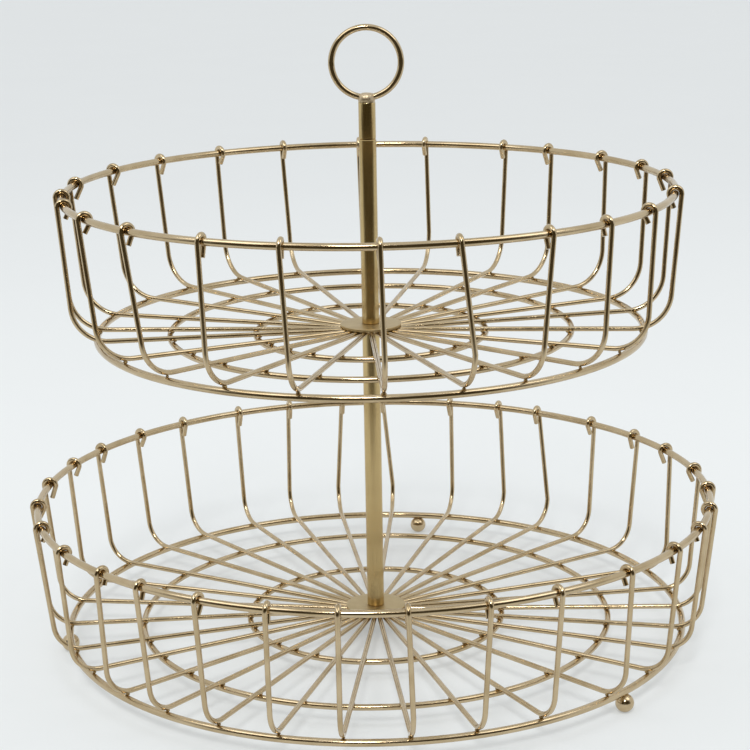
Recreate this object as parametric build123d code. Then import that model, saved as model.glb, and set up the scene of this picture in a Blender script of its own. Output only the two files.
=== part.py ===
from build123d import *
import math
import os
from dataclasses import dataclass

# Two round baskets of welded steel wire stand one above the other on a central post.
# Each rib is one wire: it runs out from under the hub plate, lies on the floor rings,
# bends up past the base ring, leans outward and hooks inward over the rim.
# Millimetres, +Z up. The origin is on the table, under the axis of the post.

# Wire diameters, and the gap left where two wires are welded across each other
rim_wire = 4.0
base_ring_wire = 4.0
floor_ring_wire = 3.4
rib_wire = 2.8
handle_wire = 3.6
weld_gap = 0.02
spoke_gap = 0.1

# A drawn wire is a chain of straight flats with a many-sided section
ring_side_count = 6
rib_side_count = 6
bend_flat_count = 2
hook_flat_count = 3
rim_flats_per_rib_count = 2
floor_flats_per_rib_count = 1

# Bars, discs and balls have many flat sides too
bar_side_count = 32
ball_side_count = 16
ball_band_count = 6

# The hook that each rib makes over its rim
hook_wrap_degrees = 210.0
hook_tail = 6.2

# Lower basket
lower_rim_radius = 190.0
lower_depth = 70.6
lower_flare_degrees = 6.3
lower_bend_radius = 16.0
lower_floor_dip = 1.0
lower_mid_radius = 134.0
lower_inner_radius = 73.0
lower_rib_count = 32
lower_first_rib_degrees = -3.2

# Upper basket, and the height of its floor above the lower one
upper_rim_radius = 167.5
upper_depth = 75.0
upper_flare_degrees = 4.5
upper_bend_radius = 21.0
upper_floor_dip = 4.3
upper_mid_radius = 112.0
upper_inner_radius = 64.5
upper_rib_count = 24
upper_first_rib_degrees = 1.5
tier_spacing = 170.7

# Ball feet: the ball is dished where the base ring is welded in, and flat underneath
foot_diameter = 10.0
foot_seat_depth = 0.5
foot_flat_depth = 0.1
foot_azimuth_degrees = (-42.5, 80.5, 187.0)

# Hub plates on top of the spokes
plate_overlap = 2.2
plate_thickness = 1.5

# Post: two tubes with a threaded plug pressed into each end
pole_diameter = 9.7
pole_wall = 1.0
pole_chamfer = 0.4
upper_pole_length = 103.4
plug_length = 12.0
neck_diameter = 8.6
neck_height = 4.0

# Threads are drawn as plain cylinders of their outer diameter
thread_diameter = 6.0
plate_hole_gap = 0.2
plug_bottom_gap = 1.0
screw_head_diameter = 10.5
screw_head_height = 3.3
washer_diameter = 12.0
washer_thickness = 1.0

# Handle: a ring of wire welded on top of a short stem
stem_diameter = 9.4
stem_length = 20.9
handle_radius = 18.9
handle_flat_count = 32
weld_bead_shoulder = 4.3
weld_bead_top = 3.3
weld_bead_cover = 0.8


@dataclass
class Tier:
    """Sizes of one basket; heights inside it count from its floor line."""
    name: str
    rim_radius: float
    depth: float
    flare_degrees: float
    bend_radius: float
    floor_dip: float
    mid_radius: float
    inner_radius: float
    rib_count: int
    first_rib_degrees: float


lower = Tier("lower", lower_rim_radius, lower_depth, lower_flare_degrees, lower_bend_radius,
             lower_floor_dip, lower_mid_radius, lower_inner_radius, lower_rib_count,
             lower_first_rib_degrees)
upper = Tier("upper", upper_rim_radius, upper_depth, upper_flare_degrees, upper_bend_radius,
             upper_floor_dip, upper_mid_radius, upper_inner_radius, upper_rib_count,
             upper_first_rib_degrees)


def in_plane(distance, degrees):
    """Vector of one length at an angle above +X, in the upright XZ plane."""
    angle = math.radians(degrees)
    return Vector(distance * math.cos(angle), 0, distance * math.sin(angle))


def around(radius, degrees, height):
    """Point on a level circle about the post."""
    return Vector(in_plane(radius, degrees).X, in_plane(radius, degrees).Z, height)


def drawn_wire(points, corner, wire, side_count):
    """Wire along straight runs with mitred corners; its section has a corner towards corner."""
    start = Plane(origin=points[0], x_dir=corner, z_dir=points[1] - points[0])
    section = start * RegularPolygon(radius=wire / 2, side_count=side_count, align=None)
    return sweep(section, path=Polyline(*points), transition=Transition.RIGHT).solid()


def wrapped_arc(centre, radius, start_degrees, turn_degrees, flat_count):
    """Corners of a chain of flats round an arc, tangent to it at both ends."""
    step = turn_degrees / (flat_count + 1)
    reach = radius / math.cos(math.radians(step / 2))
    return [centre + in_plane(reach, start_degrees + (i + 0.5) * step)
            for i in range(flat_count + 1)]


def spoke_end_radius(rib_count):
    """Radius at which that many spokes lie side by side without touching."""
    return (rib_wire + spoke_gap) / 2 / math.sin(math.pi / rib_count)


hub_plate_radius = spoke_end_radius(lower_rib_count) + plate_overlap


def rib_line(tier):
    """Centre line of one rib in the XZ plane, from hub to hook tail."""
    lean = tier.flare_degrees
    rim_centre = Vector(tier.rim_radius, 0, tier.depth)
    hook_radius = (rim_wire + rib_wire) / 2 + weld_gap
    side_foot = rim_centre + in_plane(hook_radius, -lean)
    side_run = side_foot.Z / math.cos(math.radians(lean))
    side_foot = side_foot - in_plane(side_run, 90 - lean)
    tangent = tier.bend_radius * math.tan(math.radians((90 - lean) / 2))
    bend_centre = side_foot + Vector(-tangent, 0, tier.bend_radius)
    tail_angle = hook_wrap_degrees - lean
    tail_start = rim_centre + in_plane(hook_radius, tail_angle)
    return ([Vector(spoke_end_radius(tier.rib_count), 0, -tier.floor_dip)]
            + wrapped_arc(bend_centre, tier.bend_radius, -90, 90 - lean, bend_flat_count)
            + wrapped_arc(rim_centre, hook_radius, -lean, hook_wrap_degrees, hook_flat_count)
            + [tail_start + in_plane(hook_tail, tail_angle + 90)])


def spoke_height(tier, radius):
    """Height of the spoke's centre line at a radius; the floor dips towards the hub."""
    hub, corner = rib_line(tier)[:2]
    return hub.Z + (corner.Z - hub.Z) * (radius - hub.X) / (corner.X - hub.X)


def under_spoke(tier, radius, wire):
    """Centre of a floor ring's wire that is welded under the spokes."""
    return Vector(radius, 0, spoke_height(tier, radius) - (rib_wire + wire) / 2 - weld_gap)


def base_ring_centre(tier):
    """Centre of the base ring's wire, nested under the first corner of the bend."""
    hub, corner, following = rib_line(tier)[:3]
    spoke = (corner - hub).normalized()
    rise = (following - corner).normalized()
    half_turn = math.radians(spoke.get_angle(rise) / 2)
    along = (spoke + rise).normalized()
    reach = ((rib_wire + base_ring_wire) / 2 + weld_gap) / math.cos(half_turn)
    return corner + Vector(along.Z, 0, -along.X) * reach


def wire_ring(tier, centre, wire, flats_per_rib_count):
    """Level ring of straight flats; every rib crosses the middle of one flat."""
    flat_count = tier.rib_count * flats_per_rib_count
    step = 360 / flat_count
    reach = centre.X / math.cos(math.radians(step / 2))
    corners = [around(reach, tier.first_rib_degrees + (i + 0.5) * step, centre.Z)
               for i in range(flat_count)]
    middle = (corners[-1] + corners[0]) / 2
    return drawn_wire([middle] + corners + [middle], Vector(0, 0, 1), wire, ring_side_count)


def rib(tier, number):
    """One rib turned to its place round the post."""
    line = rib_line(tier)
    spoke = line[1] - line[0]
    wire = drawn_wire(line, Vector(-spoke.Z, 0, spoke.X), rib_wire, rib_side_count)
    return Rot(0, 0, tier.first_rib_degrees + 360 * number / tier.rib_count) * wire


def basket(tier, floor_height):
    """Rings and opposite rib pairs of one basket, by node name."""
    place = Pos(0, 0, floor_height)
    rim_centre = Vector(tier.rim_radius, 0, tier.depth)
    mid_centre = under_spoke(tier, tier.mid_radius, floor_ring_wire)
    inner_centre = under_spoke(tier, tier.inner_radius, floor_ring_wire)
    rings = {
        "rim_ring": (rim_centre, rim_wire, rim_flats_per_rib_count),
        "base_ring": (base_ring_centre(tier), base_ring_wire, rim_flats_per_rib_count),
        "mid_ring": (mid_centre, floor_ring_wire, floor_flats_per_rib_count),
        "inner_ring": (inner_centre, floor_ring_wire, floor_flats_per_rib_count),
    }
    nodes = {name: place * wire_ring(tier, *ring) for name, ring in rings.items()}
    pair_count = tier.rib_count // 2
    for number in range(pair_count):
        pair = [place * rib(tier, number), place * rib(tier, number + pair_count)]
        nodes[f"rib_pair_{number + 1:02d}"] = Compound(pair)
    return {f"{tier.name}_{name}": shape for name, shape in nodes.items()}


def turned(outline, side_count=bar_side_count):
    """Flat-sided turning about Z through the (radius, height) corners of its outline."""
    rings = [Pos(0, 0, height) * RegularPolygon(radius, side_count=side_count, align=None)
             for radius, height in outline]
    return loft(rings, ruled=True)


def rod(diameter, bottom, top):
    """Upright bar on the axis of the post."""
    return turned([(diameter / 2, bottom), (diameter / 2, top)])


def ball_feet(base_ring, ring_radius):
    """Three balls on the table, each dished to fit round the base ring."""
    centre = Vector(0, 0, foot_diameter / 2 - foot_flat_depth)
    table_angle = math.degrees(math.asin(centre.Z / (foot_diameter / 2)))
    band = 2 * table_angle / ball_band_count
    points = [centre + in_plane(foot_diameter / 2, i * band - table_angle)
              for i in range(ball_band_count + 1)]
    ball = turned([(point.X, point.Z) for point in points], ball_side_count)
    return Compound([(Pos(around(ring_radius, azimuth, 0)) * ball - base_ring).solid()
                     for azimuth in foot_azimuth_degrees])


def hub_plate(bottom):
    """Flat disc welded on the spokes, with a hole for the threaded stud."""
    disc = rod(hub_plate_radius * 2, bottom, bottom + plate_thickness)
    return disc - rod(thread_diameter + plate_hole_gap * 2, bottom, bottom + plate_thickness)


def pole(bottom, top):
    """Tube of the post with its outer ends broken."""
    radius = pole_diameter / 2
    bar = turned([(radius - pole_chamfer, bottom), (radius, bottom + pole_chamfer),
                  (radius, top - pole_chamfer), (radius - pole_chamfer, top)])
    return bar - rod(pole_diameter - pole_wall * 2, bottom, top)


def plug(bottom, top):
    """Threaded plug pressed into a tube end."""
    bar = rod(pole_diameter - pole_wall * 2, bottom, top)
    return bar - rod(thread_diameter, bottom, top)


def necked_plug(bottom, tube_end, top):
    """Plug whose neck stands out of the tube and carries the upper hub plate."""
    bar = rod(pole_diameter - pole_wall * 2, bottom, tube_end) + rod(neck_diameter, tube_end, top)
    return bar - rod(thread_diameter, bottom, top)


def base_screw(head_top):
    """Screw from below that holds the lower plate to the post."""
    shank_top = head_top + washer_thickness + plate_thickness + plug_length - plug_bottom_gap
    head = rod(screw_head_diameter, head_top - screw_head_height, head_top)
    return head + rod(thread_diameter, head_top, shank_top)


def base_washer(bottom):
    """Plain washer between the screw head and the lower plate."""
    disc = rod(washer_diameter, bottom, bottom + washer_thickness)
    hole = rod(thread_diameter + plate_hole_gap * 2, bottom, bottom + washer_thickness)
    return disc - hole


def handle_ring(bottom):
    """Upright ring of wire that faces along Y and rests on the stem."""
    centre = Vector(0, 0, bottom + handle_wire / 2 + handle_radius)
    step = 360 / handle_flat_count
    reach = handle_radius / math.cos(math.radians(step / 2))
    corners = [centre + in_plane(reach, (i + 0.5) * step - 90)
               for i in range(handle_flat_count)]
    middle = (corners[-1] + corners[0]) / 2
    return drawn_wire([middle] + corners + [middle], Vector(0, 0, 1), handle_wire,
                      ring_side_count)


def handle_stem(bottom, ring):
    """Short bar with the weld bead that wraps the foot of the ring on its top."""
    top = bottom + stem_length
    radius = stem_diameter / 2
    bar = turned([(radius, bottom), (radius, top), (weld_bead_shoulder, top + handle_wire / 2),
                  (weld_bead_top, top + handle_wire + weld_bead_cover)])
    return (bar - rod(thread_diameter, bottom, bottom + plug_length) - ring).solid()


def hub_plate_height(tier):
    """Underside of the hub plate above the floor line, on the tops of the spokes."""
    return spoke_height(tier, hub_plate_radius) + rib_wire / 2 + weld_gap


def post(lower_plate, upper_plate):
    """Plates, tubes, plugs, studs and handle; the two heights are the plates' undersides."""
    lower_start = lower_plate + plate_thickness
    lower_end = upper_plate - neck_height
    upper_start = upper_plate + plate_thickness
    upper_end = upper_start + upper_pole_length
    grip = plug_length - plug_bottom_gap
    ring = handle_ring(upper_end + stem_length)
    return {
        "base_screw": base_screw(lower_plate - washer_thickness),
        "base_washer": base_washer(lower_plate - washer_thickness),
        "lower_hub_plate": hub_plate(lower_plate),
        "lower_pole": pole(lower_start, lower_end),
        "lower_pole_bottom_plug": plug(lower_start, lower_start + plug_length),
        "lower_pole_top_plug": necked_plug(lower_end - plug_length, lower_end, upper_plate),
        "upper_hub_plate": hub_plate(upper_plate),
        "tier_stud": rod(thread_diameter, upper_plate - grip, upper_start + grip),
        "upper_pole": pole(upper_start, upper_end),
        "upper_pole_bottom_plug": plug(upper_start, upper_start + plug_length),
        "upper_pole_top_plug": plug(upper_end - plug_length, upper_end),
        "handle_stud": rod(thread_diameter, upper_end - grip, upper_end + grip),
        "handle_stem": handle_stem(upper_end, ring),
        "handle_ring": ring,
    }


def tiered_basket():
    """Every node of the object in its place."""
    ring = base_ring_centre(lower)
    ring_height = foot_diameter - foot_flat_depth - foot_seat_depth + base_ring_wire / 2
    lower_floor = ring_height - ring.Z
    upper_floor = lower_floor + tier_spacing
    nodes = {**basket(lower, lower_floor), **basket(upper, upper_floor)}
    nodes["ball_feet"] = ball_feet(nodes["lower_base_ring"], ring.X)
    nodes.update(post(lower_floor + hub_plate_height(lower),
                      upper_floor + hub_plate_height(upper)))
    return nodes


os.makedirs("parts", exist_ok=True)
for node, shape in tiered_basket().items():
    export_step(shape, f"parts/{node}.step")
    print(node, round(shape.volume, 1), "mm3")
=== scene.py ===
import math
import bmesh
import bpy
from mathutils import Matrix, Vector, noise


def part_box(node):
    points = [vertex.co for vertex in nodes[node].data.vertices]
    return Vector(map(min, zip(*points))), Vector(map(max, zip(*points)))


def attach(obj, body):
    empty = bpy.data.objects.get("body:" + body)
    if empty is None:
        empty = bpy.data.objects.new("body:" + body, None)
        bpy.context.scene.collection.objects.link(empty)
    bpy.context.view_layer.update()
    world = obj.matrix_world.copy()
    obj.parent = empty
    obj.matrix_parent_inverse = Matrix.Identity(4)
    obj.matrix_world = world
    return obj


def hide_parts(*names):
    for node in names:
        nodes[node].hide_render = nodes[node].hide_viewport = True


# Dresses the two-tier wire basket. Metres, +Z up, the front towards -Y.
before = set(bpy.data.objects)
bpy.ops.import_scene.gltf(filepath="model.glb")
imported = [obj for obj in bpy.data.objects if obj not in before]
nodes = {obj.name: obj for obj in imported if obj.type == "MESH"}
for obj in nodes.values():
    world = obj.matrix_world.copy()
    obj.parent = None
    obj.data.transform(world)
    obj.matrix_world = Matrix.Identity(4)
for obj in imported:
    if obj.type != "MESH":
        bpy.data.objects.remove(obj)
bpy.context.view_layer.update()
scene = bpy.context.scene


# Rings. Each basket has a rim, a base ring and two floor rings of drawn steel wire, bent
# round, butt-welded into hoops and plated in satin champagne gold. The rim and base ring
# are of the thickest wire. Every hoop wavers a little, as hand-bent wire does.
rim_wire = 0.0040
floor_ring_wire = 0.0034
hoop_waver = 0.0006
waver_scale = 9.0
hoop_seed_step = 0.37
hoop_step = 0.006
hoop_sides = 16
grain_relief = 0.6
champagne = (0.59, 0.465, 0.295, 1.0)
tarnished_champagne = (0.35, 0.245, 0.11, 1.0)
hoop_radius = {
    "lower_rim_ring": 0.190, "lower_base_ring": 0.17615,
    "lower_mid_ring": 0.134, "lower_inner_ring": 0.073,
    "upper_rim_ring": 0.1675, "upper_base_ring": 0.15187,
    "upper_mid_ring": 0.112, "upper_inner_ring": 0.0645,
}


def place_node(tree, kind, inputs=(), **settings):
    """Adds a node, applies its settings, and sets or links its inputs."""
    made = tree.nodes.new(kind)
    for label, value in settings.items():
        setattr(made, label, value)
    for socket, value in dict(inputs).items():
        if isinstance(value, bpy.types.NodeSocket):
            tree.links.new(value, made.inputs[socket])
        else:
            made.inputs[socket].default_value = value
    return made


def satin_plating_group():
    """Effect group for plated, brushed steel: draw lines, cloudy tone and patchy gloss."""
    group = bpy.data.node_groups.new("satin_plating", "ShaderNodeTree")
    for label, kind in {
            "Vector": "NodeSocketVector", "Grain Stretch": "NodeSocketVector",
            "Grain Scale": "NodeSocketFloat", "Cloud Scale": "NodeSocketFloat",
            "Plating": "NodeSocketColor", "Tarnish": "NodeSocketColor",
            "Tarnish Amount": "NodeSocketFloat", "Smoothest": "NodeSocketFloat",
            "Roughest": "NodeSocketFloat"}.items():
        group.interface.new_socket(label, in_out="INPUT", socket_type=kind)
    for label, kind in {"Color": "NodeSocketColor", "Roughness": "NodeSocketFloat",
                        "Height": "NodeSocketFloat"}.items():
        group.interface.new_socket(label, in_out="OUTPUT", socket_type=kind)
    given = place_node(group, "NodeGroupInput").outputs
    drawn = place_node(group, "ShaderNodeVectorMath", {
        0: given["Vector"], 1: given["Grain Stretch"]}, operation="MULTIPLY")
    grain = place_node(group, "ShaderNodeTexNoise", {
        "Vector": drawn.outputs[0], "Scale": given["Grain Scale"], "Detail": 3.0})
    cloud = place_node(group, "ShaderNodeTexNoise", {
        "Vector": given["Vector"], "Scale": given["Cloud Scale"], "Detail": 4.0})
    patchy = place_node(group, "ShaderNodeMapRange", {
        "Value": cloud.outputs["Fac"], "From Min": 0.35, "From Max": 0.70, "To Min": 0.0,
        "To Max": given["Tarnish Amount"]})
    streaked = place_node(group, "ShaderNodeMath", {
        0: patchy.outputs[0], 1: grain.outputs["Fac"]}, operation="MULTIPLY")
    tone = place_node(group, "ShaderNodeMix", {
        "Factor": streaked.outputs[0], 6: given["Plating"], 7: given["Tarnish"]},
        data_type="RGBA")
    gloss = place_node(group, "ShaderNodeMapRange", {
        "Value": grain.outputs["Fac"], "From Min": 0.3, "From Max": 0.7,
        "To Min": given["Smoothest"], "To Max": given["Roughest"]})
    place_node(group, "NodeGroupOutput", {
        "Color": tone.outputs[2], "Roughness": gloss.outputs[0],
        "Height": grain.outputs["Fac"]})
    return group


satin_plating = satin_plating_group()


def plated_finish(label, along=None, centre=(0, 0, 0), bump=0.00003, **values):
    """Plated metal; the grain follows an attribute of the piece, or Object coordinates."""
    finish = bpy.data.materials.new(label)
    finish.use_nodes = True
    tree = finish.node_tree
    shader = tree.nodes["Principled BSDF"]
    if along:
        where = place_node(tree, "ShaderNodeAttribute", attribute_name=along)
        vector = where.outputs["Vector"]
    else:
        where = place_node(tree, "ShaderNodeTexCoord")
        moved = place_node(tree, "ShaderNodeMapping", {
            "Vector": where.outputs["Object"], "Location": [-c for c in centre]})
        vector = moved.outputs["Vector"]
    effect = place_node(tree, "ShaderNodeGroup", node_tree=satin_plating)
    tree.links.new(vector, effect.inputs["Vector"])
    for socket, value in values.items():
        effect.inputs[socket.replace("_", " ").title()].default_value = value
    relief = place_node(tree, "ShaderNodeBump", {
        "Strength": grain_relief, "Distance": bump, "Height": effect.outputs["Height"]})
    shader.inputs["Metallic"].default_value = 1.0
    tree.links.new(effect.outputs["Color"], shader.inputs["Base Color"])
    tree.links.new(effect.outputs["Roughness"], shader.inputs["Roughness"])
    tree.links.new(relief.outputs["Normal"], shader.inputs["Normal"])
    return finish


plated_ring_wire = plated_finish(
    "plated_ring_wire", along="along", grain_stretch=(0.03, 1, 1), grain_scale=2200,
    cloud_scale=55, plating=champagne, tarnish=tarnished_champagne, tarnish_amount=1.0,
    smoothest=0.10, roughest=0.22)


def shaping_tree(label, inputs):
    """Empty geometry tree with named inputs; returns it with its input sockets."""
    tree = bpy.data.node_groups.new(label, "GeometryNodeTree")
    tree.interface.new_socket("Geometry", in_out="INPUT", socket_type="NodeSocketGeometry")
    for name, kind in inputs.items():
        tree.interface.new_socket(name, in_out="INPUT", socket_type="NodeSocket" + kind)
    tree.interface.new_socket("Geometry", in_out="OUTPUT", socket_type="NodeSocketGeometry")
    return tree, place_node(tree, "NodeGroupInput").outputs


def draw_round_wire(tree, path, radius, sides, shift):
    """Sweeps a round wire along a path and stores how far along and around each point is."""
    station = place_node(tree, "GeometryNodeSplineParameter")
    on_path = place_node(tree, "GeometryNodeCaptureAttribute")
    on_path.capture_items.new("FLOAT", "Along")
    tree.links.new(path, on_path.inputs["Geometry"])
    tree.links.new(station.outputs["Length"], on_path.inputs["Along"])
    section = place_node(tree, "GeometryNodeCurvePrimitiveCircle", {
        "Radius": radius, "Resolution": sides})
    on_section = place_node(tree, "GeometryNodeCaptureAttribute")
    on_section.capture_items.new("FLOAT", "Around")
    tree.links.new(section.outputs["Curve"], on_section.inputs["Geometry"])
    tree.links.new(station.outputs["Length"], on_section.inputs["Around"])
    swept = place_node(tree, "GeometryNodeCurveToMesh", {
        "Curve": on_path.outputs["Geometry"], "Profile Curve": on_section.outputs["Geometry"],
        "Fill Caps": True})
    along = place_node(tree, "ShaderNodeCombineXYZ", {
        "X": on_path.outputs["Along"], "Y": on_section.outputs["Around"], "Z": shift})
    stored = place_node(tree, "GeometryNodeStoreNamedAttribute", {
        "Geometry": swept.outputs["Mesh"], "Name": "along", "Value": along.outputs["Vector"]},
        data_type="FLOAT_VECTOR", domain="POINT")
    return stored.outputs["Geometry"]


def end_tree(tree, shape, finish):
    """Closes a tree with Realize Instances and Set Material."""
    real = place_node(tree, "GeometryNodeRealizeInstances", {"Geometry": shape})
    coated = place_node(tree, "GeometryNodeSetMaterial", {
        "Geometry": real.outputs["Geometry"], "Material": finish})
    place_node(tree, "NodeGroupOutput", {"Geometry": coated.outputs["Geometry"]})


def grown_piece(label, tree, start, values):
    """Runs a tree on a start mesh and leaves its result as a plain mesh."""
    piece = bpy.data.objects.new(label, start)
    scene.collection.objects.link(piece)
    modifier = piece.modifiers.new(tree.name, "NODES")
    modifier.node_group = tree
    for item in tree.interface.items_tree:
        if item.in_out == "INPUT" and item.name in values:
            modifier[item.identifier] = values[item.name]
    whole = piece.evaluated_get(bpy.context.evaluated_depsgraph_get())
    mesh = bpy.data.meshes.new_from_object(whole)
    piece.modifiers.remove(modifier)
    piece.data = mesh
    mesh.name = label
    for face in mesh.polygons:
        face.use_smooth = len(face.vertices) <= 4
    return piece


def hoop_tree():
    """A round wire bent into a hoop, wavering a little, then tilted and set in its place."""
    tree, given = shaping_tree("formed_hoop", {
        "Hoop Radius": "Float", "Wire Radius": "Float", "Segments": "Int",
        "Wire Sides": "Int", "Waver": "Float", "Seed": "Float", "Tilt": "Float",
        "Centre": "Vector", "Finish": "Material"})
    hoop = place_node(tree, "GeometryNodeCurvePrimitiveCircle", {
        "Radius": given["Hoop Radius"], "Resolution": given["Segments"]})
    here = place_node(tree, "GeometryNodeInputPosition")
    own = place_node(tree, "ShaderNodeCombineXYZ", {"Z": given["Seed"]})
    spot = place_node(tree, "ShaderNodeVectorMath", {
        0: here.outputs[0], 1: own.outputs[0]}, operation="ADD")
    bend = place_node(tree, "ShaderNodeTexNoise", {
        "Vector": spot.outputs[0], "Scale": waver_scale, "Detail": 0.0})
    even = place_node(tree, "ShaderNodeVectorMath", {
        0: bend.outputs["Color"], 1: (0.5, 0.5, 0.5)}, operation="SUBTRACT")
    wave = place_node(tree, "ShaderNodeVectorMath", {
        0: even.outputs[0], "Scale": given["Waver"]}, operation="SCALE")
    bent = place_node(tree, "ShaderNodeVectorMath", {
        0: here.outputs[0], 1: wave.outputs[0]}, operation="ADD")
    tilted = place_node(tree, "ShaderNodeVectorRotate", {
        "Vector": bent.outputs[0], "Angle": given["Tilt"]}, rotation_type="X_AXIS")
    placed = place_node(tree, "ShaderNodeVectorMath", {
        0: tilted.outputs[0], 1: given["Centre"]}, operation="ADD")
    path = place_node(tree, "GeometryNodeSetPosition", {
        "Geometry": hoop.outputs["Curve"], "Position": placed.outputs[0]})
    wire = draw_round_wire(tree, path.outputs["Geometry"], given["Wire Radius"],
                           given["Wire Sides"], given["Seed"])
    end_tree(tree, wire, given["Finish"])
    return tree


formed_hoop = hoop_tree()


def middle_height(node):
    """Height of the middle of a CAD node."""
    lowest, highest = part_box(node)
    return (lowest.z + highest.z) / 2


for number, (node, radius) in enumerate(hoop_radius.items()):
    thick = "rim" in node or "base" in node
    hoop = grown_piece(node.replace("_ring", "_hoop"), formed_hoop, bpy.data.meshes.new(node), {
        "Hoop Radius": radius, "Wire Radius": (rim_wire if thick else floor_ring_wire) / 2,
        "Segments": round(2 * math.pi * radius / hoop_step), "Wire Sides": hoop_sides,
        "Waver": hoop_waver, "Seed": number * hoop_seed_step, "Tilt": 0.0,
        "Centre": (0.0, 0.0, middle_height(node)), "Finish": plated_ring_wire})
    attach(hoop, "root")
    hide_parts(node)


# Ribs. Each is one drawn wire: a spoke on the floor rings, a bend past the base ring, a side
# leaning outward, and a hook closed over the rim by hand. They were set by eye, so each one
# stands a few degrees off its even place, by another amount at the foot than at the rim.
rib_wire = 0.0028
rib_sides = 12
hook_gap = 0.00002
hook_wrap = math.radians(210)
hook_tail = 0.0062
hook_curl = math.radians(5)
hook_twist = math.radians(14)
tail_spread = 0.0010
bend_points = 12
hook_points = 20
first_rib_seed = 11
grain_shift = 0.71
baskets = {
    "lower": {"depth": 0.0706, "flare": math.radians(6.3), "bend": 0.016, "dip": 0.0010,
              "hub_end": 0.0148, "first": math.radians(-3.2),
              "turns": [(1.0, 0.6), (0.6, -1.0), (2.0, -0.8), (1.1, 0.8), (1.4, 0.8), (2.9, -0.2),
                        (0.0, -1.6), (-1.2, -1.8), (1.1, -0.7), (-2.0, -0.8), (-2.6, -1.9),
                        (-3.2, -3.3), (-2.1, -2.4), (-2.7, -3.0), (-2.8, -2.8), (-4.2, -3.4),
                        (-3.5, -3.0), (-2.8, -2.2), (-2.0, -0.8), (-0.1, -1.4), (0.9, -0.5),
                        (-1.4, -1.3), (-1.8, -1.8), (-1.7, -2.1), (-2.3, -2.5), (-3.4, -2.7),
                        (-2.5, -2.8), (-2.2, -2.2), (0.3, 1.3), (2.1, 2.5), (1.9, 2.2),
                        (1.2, 1.4)]},
    "upper": {"depth": 0.075, "flare": math.radians(4.5), "bend": 0.021, "dip": 0.0043,
              "hub_end": 0.0111, "first": math.radians(1.5),
              "turns": [(5.3, 3.8), (3.1, 2.0), (2.4, 1.3), (2.3, 2.0), (-1.7, -1.5), (1.0, 0.3),
                        (0.4, 0.0), (1.9, 1.1), (1.6, 1.3), (1.9, 1.1), (1.6, 0.3), (3.8, 3.0),
                        (3.0, 2.5), (-1.0, -1.6), (-1.7, -0.1), (-2.2, -0.1), (-0.3, -0.6),
                        (-1.0, -0.4), (0.2, 0.7), (-1.7, 1.0), (-0.2, -0.9), (-2.1, -1.6),
                        (-3.0, -1.7), (1.5, 1.6)]},
}


def out_and_up(distance, angle):
    """Step in a rib's upright plane, at an angle above outward."""
    return Vector((distance * math.cos(angle), 0, distance * math.sin(angle)))


def rib_stations(tier, basket):
    """Rim's middle, and one rib's line from hub to tail as (place, hook share, tail share)."""
    rim = Vector((hoop_radius[tier + "_rim_ring"], 0, middle_height(tier + "_rim_ring")))
    floor = rim.z - basket["depth"]
    lean = basket["flare"]
    reach = (rim_wire + rib_wire) / 2 + hook_gap
    hook_start = rim + out_and_up(reach, -lean)
    foot = hook_start - out_and_up((hook_start.z - floor) / math.cos(lean), math.pi / 2 - lean)
    tangent = basket["bend"] * math.tan((math.pi / 2 - lean) / 2)
    bend_centre = Vector((foot.x - tangent, 0, floor + basket["bend"]))
    stations = [(Vector((basket["hub_end"], 0, floor - basket["dip"])), 0, 0)]
    for step in range(bend_points + 1):
        angle = -math.pi / 2 + (math.pi / 2 - lean) * step / bend_points
        stations.append((bend_centre + out_and_up(basket["bend"], angle), 0, 0))
    for step in range(hook_points + 1):
        angle = -lean + hook_wrap * step / hook_points
        stations.append((rim + out_and_up(reach, angle), step / hook_points, 0))
    stations.append((stations[-1][0] + out_and_up(hook_tail, angle + math.pi / 2), 1, 1))
    return rim, stations


def rib_path(label, stations):
    """Open line through the stations, with the shares that vary it kept on its points."""
    line = bpy.data.meshes.new(label)
    line.from_pydata([place for place, hook, tail in stations],
                     [(i, i + 1) for i in range(len(stations) - 1)], [])
    line.attributes.new("hook_share", "FLOAT", "POINT").data.foreach_set(
        "value", [hook for place, hook, tail in stations])
    line.attributes.new("tail_share", "FLOAT", "POINT").data.foreach_set(
        "value", [tail for place, hook, tail in stations])
    line.attributes.new("foot_share", "FLOAT", "POINT").data.foreach_set(
        "value", [0] + [1] * (bend_points + 1) + [0] * (hook_points + 2))
    line.attributes.new("rim_share", "FLOAT", "POINT").data.foreach_set(
        "value", [0] * (bend_points + 2) + [1] * (hook_points + 2))
    holder = bpy.data.objects.new(label, line)
    return holder


def azimuth_points(label, places, **values):
    """Loose points that carry their azimuth round the post and other such values."""
    points = bpy.data.meshes.new(label)
    points.from_pydata(places, [], [])
    for name, numbers in values.items():
        points.attributes.new(name, "FLOAT", "POINT").data.foreach_set("value", numbers)
    return points


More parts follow.
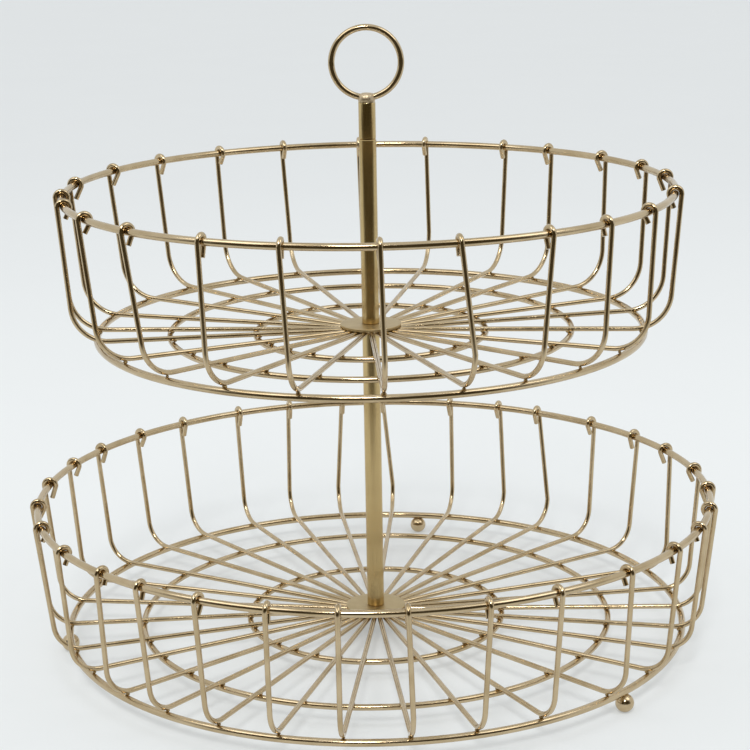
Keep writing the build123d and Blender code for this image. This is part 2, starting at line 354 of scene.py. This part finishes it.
def rib_tree():
    """Lays one rib line per point, varies its hook, turns it to its azimuth and draws it."""
    tree, given = shaping_tree("hooked_ribs", {
        "Rib Line": "Object", "Rim": "Vector", "Tail Way": "Vector", "Wire Radius": "Float",
        "Wire Sides": "Int", "Curl": "Float", "Twist": "Float", "Tail Spread": "Float",
        "Seed": "Int", "Finish": "Material"})

    def kept(label):
        return place_node(tree, "GeometryNodeInputNamedAttribute", {"Name": label},
                          data_type="FLOAT").outputs["Attribute"]

    def times(first, second):
        return place_node(tree, "ShaderNodeMath", {0: first, 1: second},
                          operation="MULTIPLY").outputs[0]

    def by_hand(spread, offset):
        low = times(spread, -1.0)
        own_seed = place_node(tree, "ShaderNodeMath", {0: given["Seed"], 1: float(offset)},
                              operation="ADD").outputs[0]
        return place_node(tree, "FunctionNodeRandomValue", {
            2: low, 3: spread, "ID": rib_number, "Seed": own_seed},
            data_type="FLOAT").outputs[1]

    def moved(geometry, position=None, offset=None):
        inputs = {"Geometry": geometry}
        if position is not None:
            inputs["Position"] = position
        if offset is not None:
            inputs["Offset"] = offset
        return place_node(tree, "GeometryNodeSetPosition", inputs).outputs["Geometry"]

    def turned(angle, axis, centre=(0, 0, 0)):
        here = place_node(tree, "GeometryNodeInputPosition").outputs[0]
        return place_node(tree, "ShaderNodeVectorRotate", {
            "Vector": here, "Center": centre, "Angle": angle}, rotation_type=axis).outputs[0]

    numbered = place_node(tree, "GeometryNodeStoreNamedAttribute", {
        "Geometry": given["Geometry"], "Name": "rib_number",
        "Value": place_node(tree, "GeometryNodeInputIndex").outputs[0]},
        data_type="INT", domain="POINT")
    rib_number = place_node(tree, "GeometryNodeInputNamedAttribute", {"Name": "rib_number"},
                            data_type="INT").outputs["Attribute"]
    line = place_node(tree, "GeometryNodeObjectInfo", {"Object": given["Rib Line"]})
    laid = place_node(tree, "GeometryNodeInstanceOnPoints", {
        "Points": numbered.outputs["Geometry"], "Instance": line.outputs["Geometry"]})
    shape = place_node(tree, "GeometryNodeRealizeInstances", {
        "Geometry": laid.outputs["Instances"]}).outputs["Geometry"]
    tail_length = times(by_hand(given["Tail Spread"], 1), kept("tail_share"))
    stretch = place_node(tree, "ShaderNodeVectorMath", {
        0: given["Tail Way"], "Scale": tail_length}, operation="SCALE").outputs[0]
    shape = moved(shape, offset=stretch)
    curl = times(by_hand(given["Curl"], 2), kept("hook_share"))
    shape = moved(shape, position=turned(curl, "Y_AXIS", given["Rim"]))
    twist = times(by_hand(given["Twist"], 3), kept("hook_share"))
    shape = moved(shape, position=turned(twist, "Z_AXIS", given["Rim"]))
    for end in ("foot", "rim"):
        turn = times(kept(end + "_turn"), kept(end + "_share"))
        shape = moved(shape, position=turned(turn, "Z_AXIS"))
    shape = moved(shape, position=turned(kept("azimuth"), "Z_AXIS"))
    path = place_node(tree, "GeometryNodeMeshToCurve", {"Mesh": shape})
    wire = draw_round_wire(tree, path.outputs["Curve"], given["Wire Radius"],
                           given["Wire Sides"], times(rib_number, grain_shift))
    end_tree(tree, wire, given["Finish"])
    return tree


hooked_ribs = rib_tree()
plated_rib_wire = plated_finish(
    "plated_rib_wire", along="along", grain_stretch=(0.03, 1, 1), grain_scale=2600,
    cloud_scale=70, plating=champagne, tarnish=tarnished_champagne, tarnish_amount=1.0,
    smoothest=0.10, roughest=0.22)

for number, (tier, basket) in enumerate(baskets.items()):
    rim, stations = rib_stations(tier, basket)
    line = rib_path(tier + "_rib_line", stations)
    count = len(basket["turns"])
    basket["azimuths"] = [basket["first"] + 2 * math.pi * k / count for k in range(count)]
    rim_turns, foot_turns = zip(*[map(math.radians, pair) for pair in basket["turns"]])
    tail_way = (stations[-1][0] - stations[-2][0]).normalized()
    ribs = grown_piece(tier + "_ribs", hooked_ribs,
                       azimuth_points(tier + "_ribs", [(0, 0, 0)] * count,
                                      azimuth=basket["azimuths"], rim_turn=rim_turns,
                                      foot_turn=foot_turns), {
                           "Rib Line": line, "Rim": rim, "Tail Way": tail_way,
                           "Wire Radius": rib_wire / 2, "Wire Sides": rib_sides,
                           "Curl": hook_curl, "Twist": hook_twist,
                           "Tail Spread": tail_spread, "Seed": first_rib_seed + number,
                           "Finish": plated_rib_wire})
    bpy.data.objects.remove(line)
    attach(ribs, "root")
    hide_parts(*[name for name in nodes if name.startswith(tier + "_rib_pair")])


# Welds. Ribs and rings are resistance-welded wire on wire, and each crossing squeezes out a
# small brown collar under the spoke. The plating is thin and dark on the rough metal there.
nugget_size = (0.0010, 0.0012, 0.0008)
nugget_variation = 0.25
first_nugget_seed = 5
weld_inset = 0.0014
weld_scale_colour = (0.36, 0.26, 0.125, 1.0)


def nugget_tree():
    """Puts a small lump on each point, turned to its azimuth, no two of one size."""
    tree, given = shaping_tree("weld_nuggets", {
        "Size": "Vector", "Variation": "Float", "Seed": "Int", "Finish": "Material"})
    lump = place_node(tree, "GeometryNodeMeshIcoSphere", {"Radius": 1.0, "Subdivisions": 2})
    facing = place_node(tree, "ShaderNodeCombineXYZ", {
        "Z": place_node(tree, "GeometryNodeInputNamedAttribute", {"Name": "azimuth"},
                        data_type="FLOAT").outputs["Attribute"]})
    turn = place_node(tree, "FunctionNodeEulerToRotation", {"Euler": facing.outputs[0]})
    least = place_node(tree, "ShaderNodeMath", {0: 1.0, 1: given["Variation"]},
                       operation="SUBTRACT")
    most = place_node(tree, "ShaderNodeMath", {0: 1.0, 1: given["Variation"]}, operation="ADD")
    grown = place_node(tree, "FunctionNodeRandomValue", {
        2: least.outputs[0], 3: most.outputs[0], "Seed": given["Seed"]}, data_type="FLOAT")
    size = place_node(tree, "ShaderNodeVectorMath", {
        0: given["Size"], "Scale": grown.outputs[1]}, operation="SCALE")
    set_down = place_node(tree, "GeometryNodeInstanceOnPoints", {
        "Points": given["Geometry"], "Instance": lump.outputs["Mesh"],
        "Rotation": turn.outputs[0], "Scale": size.outputs[0]})
    end_tree(tree, set_down.outputs["Instances"], given["Finish"])
    return tree


weld_nuggets = nugget_tree()
weld_scale = plated_finish(
    "weld_scale", grain_stretch=(1, 1, 1), grain_scale=1500, cloud_scale=300,
    plating=weld_scale_colour, tarnish=tarnished_champagne, tarnish_amount=1.0,
    smoothest=0.35, roughest=0.55, bump=0.00012)

for number, (tier, basket) in enumerate(baskets.items()):
    stations = rib_stations(tier, basket)[1]
    hub, start_of_bend = stations[0][0], stations[1][0]
    slope = (start_of_bend.z - hub.z) / (start_of_bend.x - hub.x)
    places, azimuths = [], []
    for ring in ("base", "mid", "inner"):
        radius = hoop_radius[f"{tier}_{ring}_ring"]
        height = hub.z + slope * (min(radius, start_of_bend.x) - hub.x) - rib_wire / 2
        out = min((radius - hub.x) / (start_of_bend.x - hub.x) * start_of_bend.x / radius, 1)
        for azimuth, (rim_turn, foot_turn) in zip(basket["azimuths"], basket["turns"]):
            azimuths.append(azimuth + math.radians(foot_turn) * out)
            places.append(Matrix.Rotation(azimuths[-1], 3, "Z")
                          @ Vector((radius - weld_inset, 0, height)))
    welds = grown_piece(tier + "_welds", weld_nuggets,
                        azimuth_points(tier + "_welds", places, azimuth=azimuths), {
                            "Size": nugget_size, "Variation": nugget_variation,
                            "Seed": first_nugget_seed + number, "Finish": weld_scale})
    for face in welds.data.polygons:
        face.use_smooth = True
    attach(welds, "root")


# Hub plates. A thin pressed steel disc lies on top of the spokes of each basket and is
# welded to their ends. Its plating is duller than the wire's, with a fine speckle.
plate_edge_round = 0.0003
hole_radius = 0.0032
turned_sides = 96
dull_champagne = (0.54, 0.42, 0.23, 1.0)


def turned_piece(label, outline, finish, sides=turned_sides, sharp_degrees=40):
    """Closed turning about Z through (radius, height) points, from the axis or as a ring."""
    work = bmesh.new()
    loops = []
    for radius, height in outline:
        if radius == 0:
            loops.append([work.verts.new((0, 0, height))] * sides)
        else:
            loops.append([work.verts.new((radius * math.cos(2 * math.pi * i / sides),
                                          radius * math.sin(2 * math.pi * i / sides), height))
                          for i in range(sides)])
    if outline[0][0]:
        loops.append(loops[0])
    for lower, upper in zip(loops, loops[1:]):
        for i in range(sides):
            corners = [lower[i], lower[(i + 1) % sides], upper[(i + 1) % sides], upper[i]]
            work.faces.new(list(dict.fromkeys(corners)))
    bmesh.ops.recalc_face_normals(work, faces=work.faces)
    for face in work.faces:
        face.smooth = True
    for edge in work.edges:
        edge.smooth = edge.calc_face_angle(0) < math.radians(sharp_degrees)
    mesh = bpy.data.meshes.new(label)
    work.to_mesh(mesh)
    work.free()
    mesh.materials.append(finish)
    piece = bpy.data.objects.new(label, mesh)
    scene.collection.objects.link(piece)
    return piece


def rounded_corners(corners, round_off, steps=4):
    """Closed outline with its corners rounded off."""
    outline = []
    for i, corner in enumerate(corners):
        here = Vector(corner)
        back = (Vector(corners[i - 1]) - here).normalized() * round_off
        on = (Vector(corners[(i + 1) % len(corners)]) - here).normalized() * round_off
        for step in range(steps + 1):
            share = step / steps
            outline.append(tuple(here + back * (1 - share) ** 2 + on * share ** 2))
    return outline


plated_plate = plated_finish(
    "plated_plate", grain_stretch=(1, 1, 1), grain_scale=1800, cloud_scale=120,
    plating=dull_champagne, tarnish=tarnished_champagne, tarnish_amount=0.6,
    smoothest=0.38, roughest=0.50)

for node in ("lower_hub_plate", "upper_hub_plate"):
    lowest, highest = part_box(node)
    disc = turned_piece(node.replace("_plate", "_disc"), rounded_corners(
        [(hole_radius, lowest.z), (highest.x, lowest.z), (highest.x, highest.z),
         (hole_radius, highest.z)], plate_edge_round), plated_plate)
    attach(disc, "root")
    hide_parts(node)


# Ball feet. Three solid steel balls are welded under the base ring. They are polished
# before plating and about as glossy as the wire, and each stands on a small flat.
foot_radius = 0.0050
foot_flat = 0.0001
foot_azimuths = [math.radians(degrees) for degrees in (-42.5, 80.5, 187)]
plated_ball = plated_finish(
    "plated_ball", grain_stretch=(1, 1, 1), grain_scale=900, cloud_scale=250,
    plating=champagne, tarnish=tarnished_champagne, tarnish_amount=0.7,
    smoothest=0.10, roughest=0.20, bump=0.00001)

balls = bmesh.new()
for azimuth in foot_azimuths:
    seat = Matrix.Rotation(azimuth, 4, "Z") @ Matrix.Translation(
        (hoop_radius["lower_base_ring"], 0, foot_radius - foot_flat))
    bmesh.ops.create_uvsphere(balls, u_segments=40, v_segments=24, radius=foot_radius,
                              matrix=seat)
for vertex in balls.verts:
    vertex.co.z = max(vertex.co.z, 0)
for face in balls.faces:
    face.smooth = True
foot_mesh = bpy.data.meshes.new("foot_balls")
balls.to_mesh(foot_mesh)
balls.free()
foot_mesh.materials.append(plated_ball)
foot_balls = bpy.data.objects.new("foot_balls", foot_mesh)
scene.collection.objects.link(foot_balls)
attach(foot_balls, "root")
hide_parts("ball_feet")


# Post. Two steel tubes with broken edges are screwed together through the upper hub plate,
# which sits on a narrower neck at the top of the lower one. They were brushed lengthwise
# before plating, and they are a little warmer in tone than the wire.
tube_wall = 0.001
tube_chamfer = 0.0004
neck_radius = 0.0043
thread_radius = 0.003
warm_champagne = (0.59, 0.445, 0.215, 1.0)
brushed_tube = plated_finish(
    "plated_tube", grain_stretch=(1, 1, 0.02), grain_scale=2600, cloud_scale=40,
    plating=warm_champagne, tarnish=tarnished_champagne, tarnish_amount=0.8,
    smoothest=0.13, roughest=0.26, bump=0.00004)

for node in ("lower_pole", "upper_pole"):
    lowest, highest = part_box(node)
    outside, inside = highest.x, highest.x - tube_wall
    tube = turned_piece(node.replace("_pole", "_tube"), [
        (inside, lowest.z), (outside - tube_chamfer, lowest.z),
        (outside, lowest.z + tube_chamfer), (outside, highest.z - tube_chamfer),
        (outside - tube_chamfer, highest.z), (inside, highest.z)], brushed_tube)
    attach(tube, "root")
    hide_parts(node)

neck_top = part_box("upper_hub_plate")[0].z
plug_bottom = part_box("lower_pole_top_plug")[0].z
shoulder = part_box("lower_pole")[1].z
plug_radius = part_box("lower_pole")[1].x - tube_wall
tier_neck = turned_piece("tier_neck", [
    (thread_radius, plug_bottom), (plug_radius, plug_bottom), (plug_radius, shoulder),
    (neck_radius, shoulder), (neck_radius, neck_top), (thread_radius, neck_top)], brushed_tube)
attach(tier_neck, "root")
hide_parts("lower_pole_top_plug")


# Fasteners. A zinc-plated socket screw and a plain washer hold the lower plate to the post
# from below. Threaded studs and pressed-in plugs inside the tubes join the rest, unseen.
zinc_grey = (0.62, 0.62, 0.60, 1.0)
zinc_bloom = (0.40, 0.40, 0.39, 1.0)
head_round = 0.0009
socket_radius = 0.0023
socket_depth = 0.0018
socket_taper = 0.98
thread_chamfer = 0.0004
washer_round = 0.0002
zinc_steel = plated_finish(
    "zinc_steel", grain_stretch=(1, 1, 1), grain_scale=1400, cloud_scale=260,
    plating=zinc_grey, tarnish=zinc_bloom, tarnish_amount=0.9, smoothest=0.26, roughest=0.44)

lowest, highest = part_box("base_screw")
head_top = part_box("base_washer")[0].z
head_radius = highest.x
crown = [(head_radius - head_round * (1 - math.cos(a)), lowest.z + head_round * (1 - math.sin(a)))
         for a in (0, math.pi / 8, math.pi / 4, 3 * math.pi / 8, math.pi / 2)]
screw = turned_piece("base_socket_screw", [
    (0, highest.z), (thread_radius - thread_chamfer, highest.z),
    (thread_radius, highest.z - thread_chamfer),
    (thread_radius, head_top), (head_radius, head_top), *crown,
    (socket_radius, lowest.z), (socket_radius * socket_taper, lowest.z + socket_depth),
    (0, lowest.z + socket_depth)], zinc_steel)
for vertex in screw.data.vertices:
    across = math.hypot(vertex.co.x, vertex.co.y)
    if 0 < across <= socket_radius + 1e-6 and vertex.co.z < lowest.z + socket_depth + 1e-6:
        angle = math.atan2(vertex.co.y, vertex.co.x) % (math.pi / 3) - math.pi / 6
        flat = math.cos(math.pi / 6) / math.cos(angle)
        vertex.co.x *= flat
        vertex.co.y *= flat
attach(screw, "root")
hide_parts("base_screw")

lowest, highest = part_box("base_washer")
washer = turned_piece("base_plain_washer", rounded_corners(
    [(hole_radius, lowest.z), (highest.x, lowest.z), (highest.x, highest.z),
     (hole_radius, highest.z)], washer_round), zinc_steel)
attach(washer, "root")
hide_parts("base_washer")

for node in ("lower_pole_bottom_plug", "upper_pole_bottom_plug", "upper_pole_top_plug",
             "tier_stud", "handle_stud"):
    nodes[node].data.materials.clear()
    nodes[node].data.materials.append(zinc_steel)


# Handle. A short stem is screwed on top of the post, and a ring of wire stands on it, held
# by one lumpy bead of weld that swallows the foot of the ring. The plating is paler and
# rougher on the bead.
handle_wire = 0.0036
handle_radius = 0.0189
handle_segments = 96
handle_waver = 0.0002
handle_seed = 4.1
bead_lumps = 0.00055
lump_scale = 420
lump_fade = 0.001
bead_edge_drop = 0.0005
bead_edge_waver = 0.0009
bead_edge_scale = 300
pale_champagne = (0.64, 0.53, 0.37, 1.0)
plated_bead = plated_finish(
    "plated_bead", grain_stretch=(1, 1, 1), grain_scale=1100, cloud_scale=420,
    plating=pale_champagne, tarnish=tarnished_champagne, tarnish_amount=1.0,
    smoothest=0.34, roughest=0.60, bump=0.00015)
lowest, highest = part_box("handle_stem")
stem_radius = highest.x
ring_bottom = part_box("handle_ring")[0].z
ring_middle = middle_height("handle_ring")
bead_profile = [*[(stem_radius, ring_bottom - fall)
                  for fall in (0.0016, 0.0012, 0.0009, 0.0006, 0.0003)],
                (stem_radius + 0.0001, ring_bottom),
                (0.0047, ring_bottom + 0.0010), (0.0045, ring_bottom + 0.0021),
                (0.0042, ring_bottom + 0.0030), (0.0036, ring_bottom + 0.0037),
                (0.0026, highest.z - 0.0003), (0.0013, highest.z - 0.0001), (0, highest.z)]
stem = turned_piece("handle_stem_and_bead", [
    (0, lowest.z), (stem_radius - tube_chamfer, lowest.z),
    (stem_radius, lowest.z + tube_chamfer), *bead_profile], brushed_tube)
for vertex in stem.data.vertices:
    rise = vertex.co.z - bead_profile[0][1]
    if rise > 0:
        lump = noise.noise(vertex.co * lump_scale) * bead_lumps * min(rise / lump_fade, 1)
        vertex.co += Vector((vertex.co.x, vertex.co.y, 0)).normalized() * lump
stem.data.materials.append(plated_bead)
for face in stem.data.polygons:
    ragged = bead_edge_waver * noise.noise(face.center * bead_edge_scale)
    edge = ring_bottom - bead_edge_drop + ragged
    face.material_index = int(face.center.z > edge)
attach(stem, "root")
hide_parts("handle_stem")

loop = grown_piece("handle_loop", formed_hoop, bpy.data.meshes.new("handle_loop"), {
    "Hoop Radius": handle_radius, "Wire Radius": handle_wire / 2,
    "Segments": handle_segments, "Wire Sides": hoop_sides, "Waver": handle_waver,
    "Seed": handle_seed, "Tilt": math.pi / 2,
    "Centre": (0.0, 0.0, ring_middle), "Finish": plated_ring_wire})
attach(loop, "root")
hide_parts("handle_ring")


# Floor. A wide sheet of matt paper, with light falloff painted into its colour: brightest
# just behind the object, greyer in front and far behind. A glow painted into the paper keeps
# its shadow pale. Seen in the metal, the paper turns into a painted dark reflection a little
# way in front of the object.
# Painted light falloff: these tones along Y stand in for the light dropping off in front of and
# far behind the object.
painted_falloff_tones = ((0.79, 0.822, 0.83, 1.0), (0.843, 0.876, 0.884, 1.0), (0.803, 0.835, 0.846, 1.0))
painted_falloff_stops = (0.11, 0.26, 0.60)
paper_near, paper_far = -1.0, 4.0
fibre_tone = (0.70, 0.72, 0.73, 1.0)
fibre_amount = 0.05
# Painted glow: this share of the paper's brightness is emission seen by the camera and in
# reflections, which lifts its shadow.
painted_glow_share = 0.35
# Painted dark reflection: in front of this line the paper looks dark only to rays reflected off
# the metal, in this colour.
dark_reflection_front = -0.30
dark_reflection_fade = 0.28
painted_dark_reflection = (0.060, 0.047, 0.020, 1.0)
paper_size = 14.0
sheet = bmesh.new()
bmesh.ops.create_grid(sheet, x_segments=8, y_segments=8, size=paper_size)
paper_mesh = bpy.data.meshes.new("paper_floor")
sheet.to_mesh(paper_mesh)
sheet.free()
paper_floor = bpy.data.objects.new("paper_floor", paper_mesh)
scene.collection.objects.link(paper_floor)
paper = bpy.data.materials.new("matt_paper")
paper.use_nodes = True
tree = paper.node_tree
shader = tree.nodes["Principled BSDF"]
shader.inputs["Roughness"].default_value = 0.9
shader.inputs["Specular IOR Level"].default_value = 0.1
where = place_node(tree, "ShaderNodeTexCoord")
split = place_node(tree, "ShaderNodeSeparateXYZ", {"Vector": where.outputs["Object"]})
depth_tone = place_node(tree, "ShaderNodeMapRange", {
    "Value": split.outputs["Y"], "From Min": paper_near, "From Max": paper_far,
    "To Min": 0.0, "To Max": 1.0})
# Painted light falloff, as a ramp over the paper's colour along Y.
tone = place_node(tree, "ShaderNodeValToRGB", {"Fac": depth_tone.outputs[0]})
tone.color_ramp.interpolation = "EASE"
stops = tone.color_ramp.elements
stops.new(0.5)
for stop, place, colour in zip(stops, painted_falloff_stops, painted_falloff_tones):
    stop.position = place
    stop.color = colour
fibre = place_node(tree, "ShaderNodeTexNoise", {
    "Vector": where.outputs["Object"], "Scale": 6.0, "Detail": 3.0})
shade = place_node(tree, "ShaderNodeMapRange", {
    "Value": fibre.outputs["Fac"], "From Min": 0.3, "From Max": 0.7, "To Min": 0.0,
    "To Max": fibre_amount})
mottled = place_node(tree, "ShaderNodeMix", {
    "Factor": shade.outputs[0], 6: tone.outputs["Color"], 7: fibre_tone}, data_type="RGBA")
ray = place_node(tree, "ShaderNodeLightPath")
# Painted dark reflection: glossy rays past the front line see the dark colour instead of the
# paper.
dark_reflection_mask = place_node(tree, "ShaderNodeMapRange", {
    "Value": split.outputs["Y"], "From Min": dark_reflection_front,
    "From Max": dark_reflection_front - dark_reflection_fade, "To Min": 0.0, "To Max": ray.outputs["Is Glossy Ray"]})
paper_and_dark_reflection = place_node(tree, "ShaderNodeMix", {
    "Factor": dark_reflection_mask.outputs[0], 6: mottled.outputs[2], 7: painted_dark_reflection}, data_type="RGBA")
# Painted glow: the paper's lit colour is dimmed by that share and given back as emission for
# camera, glossy and transmission rays.
lit_part = place_node(tree, "ShaderNodeMix", {
    "Factor": painted_glow_share, 6: paper_and_dark_reflection.outputs[2], 7: (0.0, 0.0, 0.0, 1.0)}, data_type="RGBA")
mirrored = place_node(tree, "ShaderNodeMath", {
    0: ray.outputs["Is Glossy Ray"], 1: ray.outputs["Is Transmission Ray"]},
    operation="MAXIMUM")
looked_at = place_node(tree, "ShaderNodeMath", {
    0: ray.outputs["Is Camera Ray"], 1: mirrored.outputs[0]}, operation="MAXIMUM")
painted_glow_strength = place_node(tree, "ShaderNodeMath", {
    0: looked_at.outputs[0], 1: painted_glow_share}, operation="MULTIPLY")
tree.links.new(lit_part.outputs[2], shader.inputs["Base Color"])
tree.links.new(paper_and_dark_reflection.outputs[2], shader.inputs["Emission Color"])
tree.links.new(painted_glow_strength.outputs[0], shader.inputs["Emission Strength"])
paper_mesh.materials.append(paper)


# Light. A soft key high in front, a large softbox above each side, and an even white room.
# Metal sees a painted reflection of the room instead: bright above and behind, dark in front.
backdrop = (0.80, 0.83, 0.845, 1.0)
room_fill = 0.63
dark_before, bright_behind = -0.62, -0.18
dark_below, bright_above = 0.58, 0.90
key_energy = 1.0
key_angle = math.radians(13)
key_direction = (0.12, 1.0, -1.05)
softbox_size = 1.0
softbox_aim = (0, 0, 0.12)
softboxes = {"left_softbox": ((-1.0, -0.6, 1.6), 5.7), "right_softbox": ((1.1, -0.5, 1.6), 5.2)}
world = bpy.data.worlds.new("studio")
scene.world = world
world.use_nodes = True
tree = world.node_tree
tree.nodes.clear()
where = place_node(tree, "ShaderNodeTexCoord")
way = place_node(tree, "ShaderNodeSeparateXYZ", {"Vector": where.outputs["Generated"]})
behind = place_node(tree, "ShaderNodeMapRange", {
    "Value": way.outputs["Y"], "From Min": dark_before, "From Max": bright_behind,
    "To Min": 0.0, "To Max": 1.0}, interpolation_type="SMOOTHSTEP")
overhead = place_node(tree, "ShaderNodeMapRange", {
    "Value": way.outputs["Z"], "From Min": dark_below, "From Max": bright_above,
    "To Min": 0.0, "To Max": 1.0}, interpolation_type="SMOOTHSTEP")
lit = place_node(tree, "ShaderNodeMath", {
    0: behind.outputs[0], 1: overhead.outputs[0]}, operation="MAXIMUM")
# Painted reflection: only glossy rays see this room, dark in front; diffuse rays get the even
# fill, and the camera the backdrop.
room = place_node(tree, "ShaderNodeMix", {
    "Factor": lit.outputs[0], 6: painted_dark_reflection, 7: backdrop}, data_type="RGBA")
ray = place_node(tree, "ShaderNodeLightPath")
filled = place_node(tree, "ShaderNodeMix", {
    "Factor": ray.outputs["Is Diffuse Ray"], 6: room.outputs[2],
    7: (room_fill, room_fill, room_fill, 1.0)}, data_type="RGBA")
seen = place_node(tree, "ShaderNodeMix", {
    "Factor": ray.outputs["Is Camera Ray"], 6: filled.outputs[2], 7: backdrop},
    data_type="RGBA")
glow = place_node(tree, "ShaderNodeBackground", {"Color": seen.outputs[2], "Strength": 1.0})
place_node(tree, "ShaderNodeOutputWorld", {"Surface": glow.outputs["Background"]})

key = bpy.data.lights.new("key_light", "SUN")
key.energy = key_energy
key.angle = key_angle
holder = bpy.data.objects.new("key_light", key)
holder.rotation_euler = Vector(key_direction).to_track_quat("-Z", "Y").to_euler()
scene.collection.objects.link(holder)
for label, (place, power) in softboxes.items():
    lamp = bpy.data.lights.new(label, "AREA")
    lamp.shape = "SQUARE"
    lamp.size = softbox_size
    lamp.energy = power
    holder = bpy.data.objects.new(label, lamp)
    holder.location = place
    aim = Vector(softbox_aim) - Vector(place)
    holder.rotation_euler = aim.to_track_quat("-Z", "Y").to_euler()
    scene.collection.objects.link(holder)


# Camera. It stands level with the front of the object, a little above it, and its place and
# lens were worked out from the four large rings.
camera_place = (0.0, -1.0981, 0.4435)
camera_lens = 96.67
camera_turn = -0.0017
camera_dip = 0.2577
camera_roll = -0.0176
camera_data = bpy.data.cameras.new("camera")
camera_data.sensor_width = 36.0
camera_data.lens = camera_lens
camera_data.clip_end = 60
camera = bpy.data.objects.new("camera", camera_data)
camera.matrix_world = (Matrix.Translation(camera_place)
                       @ Matrix.Rotation(camera_turn, 4, "Z")
                       @ Matrix.Rotation(math.pi / 2 - camera_dip, 4, "X")
                       @ Matrix.Rotation(camera_roll, 4, "Z"))
scene.collection.objects.link(camera)
scene.camera = camera
scene.view_settings.view_transform = "Standard"
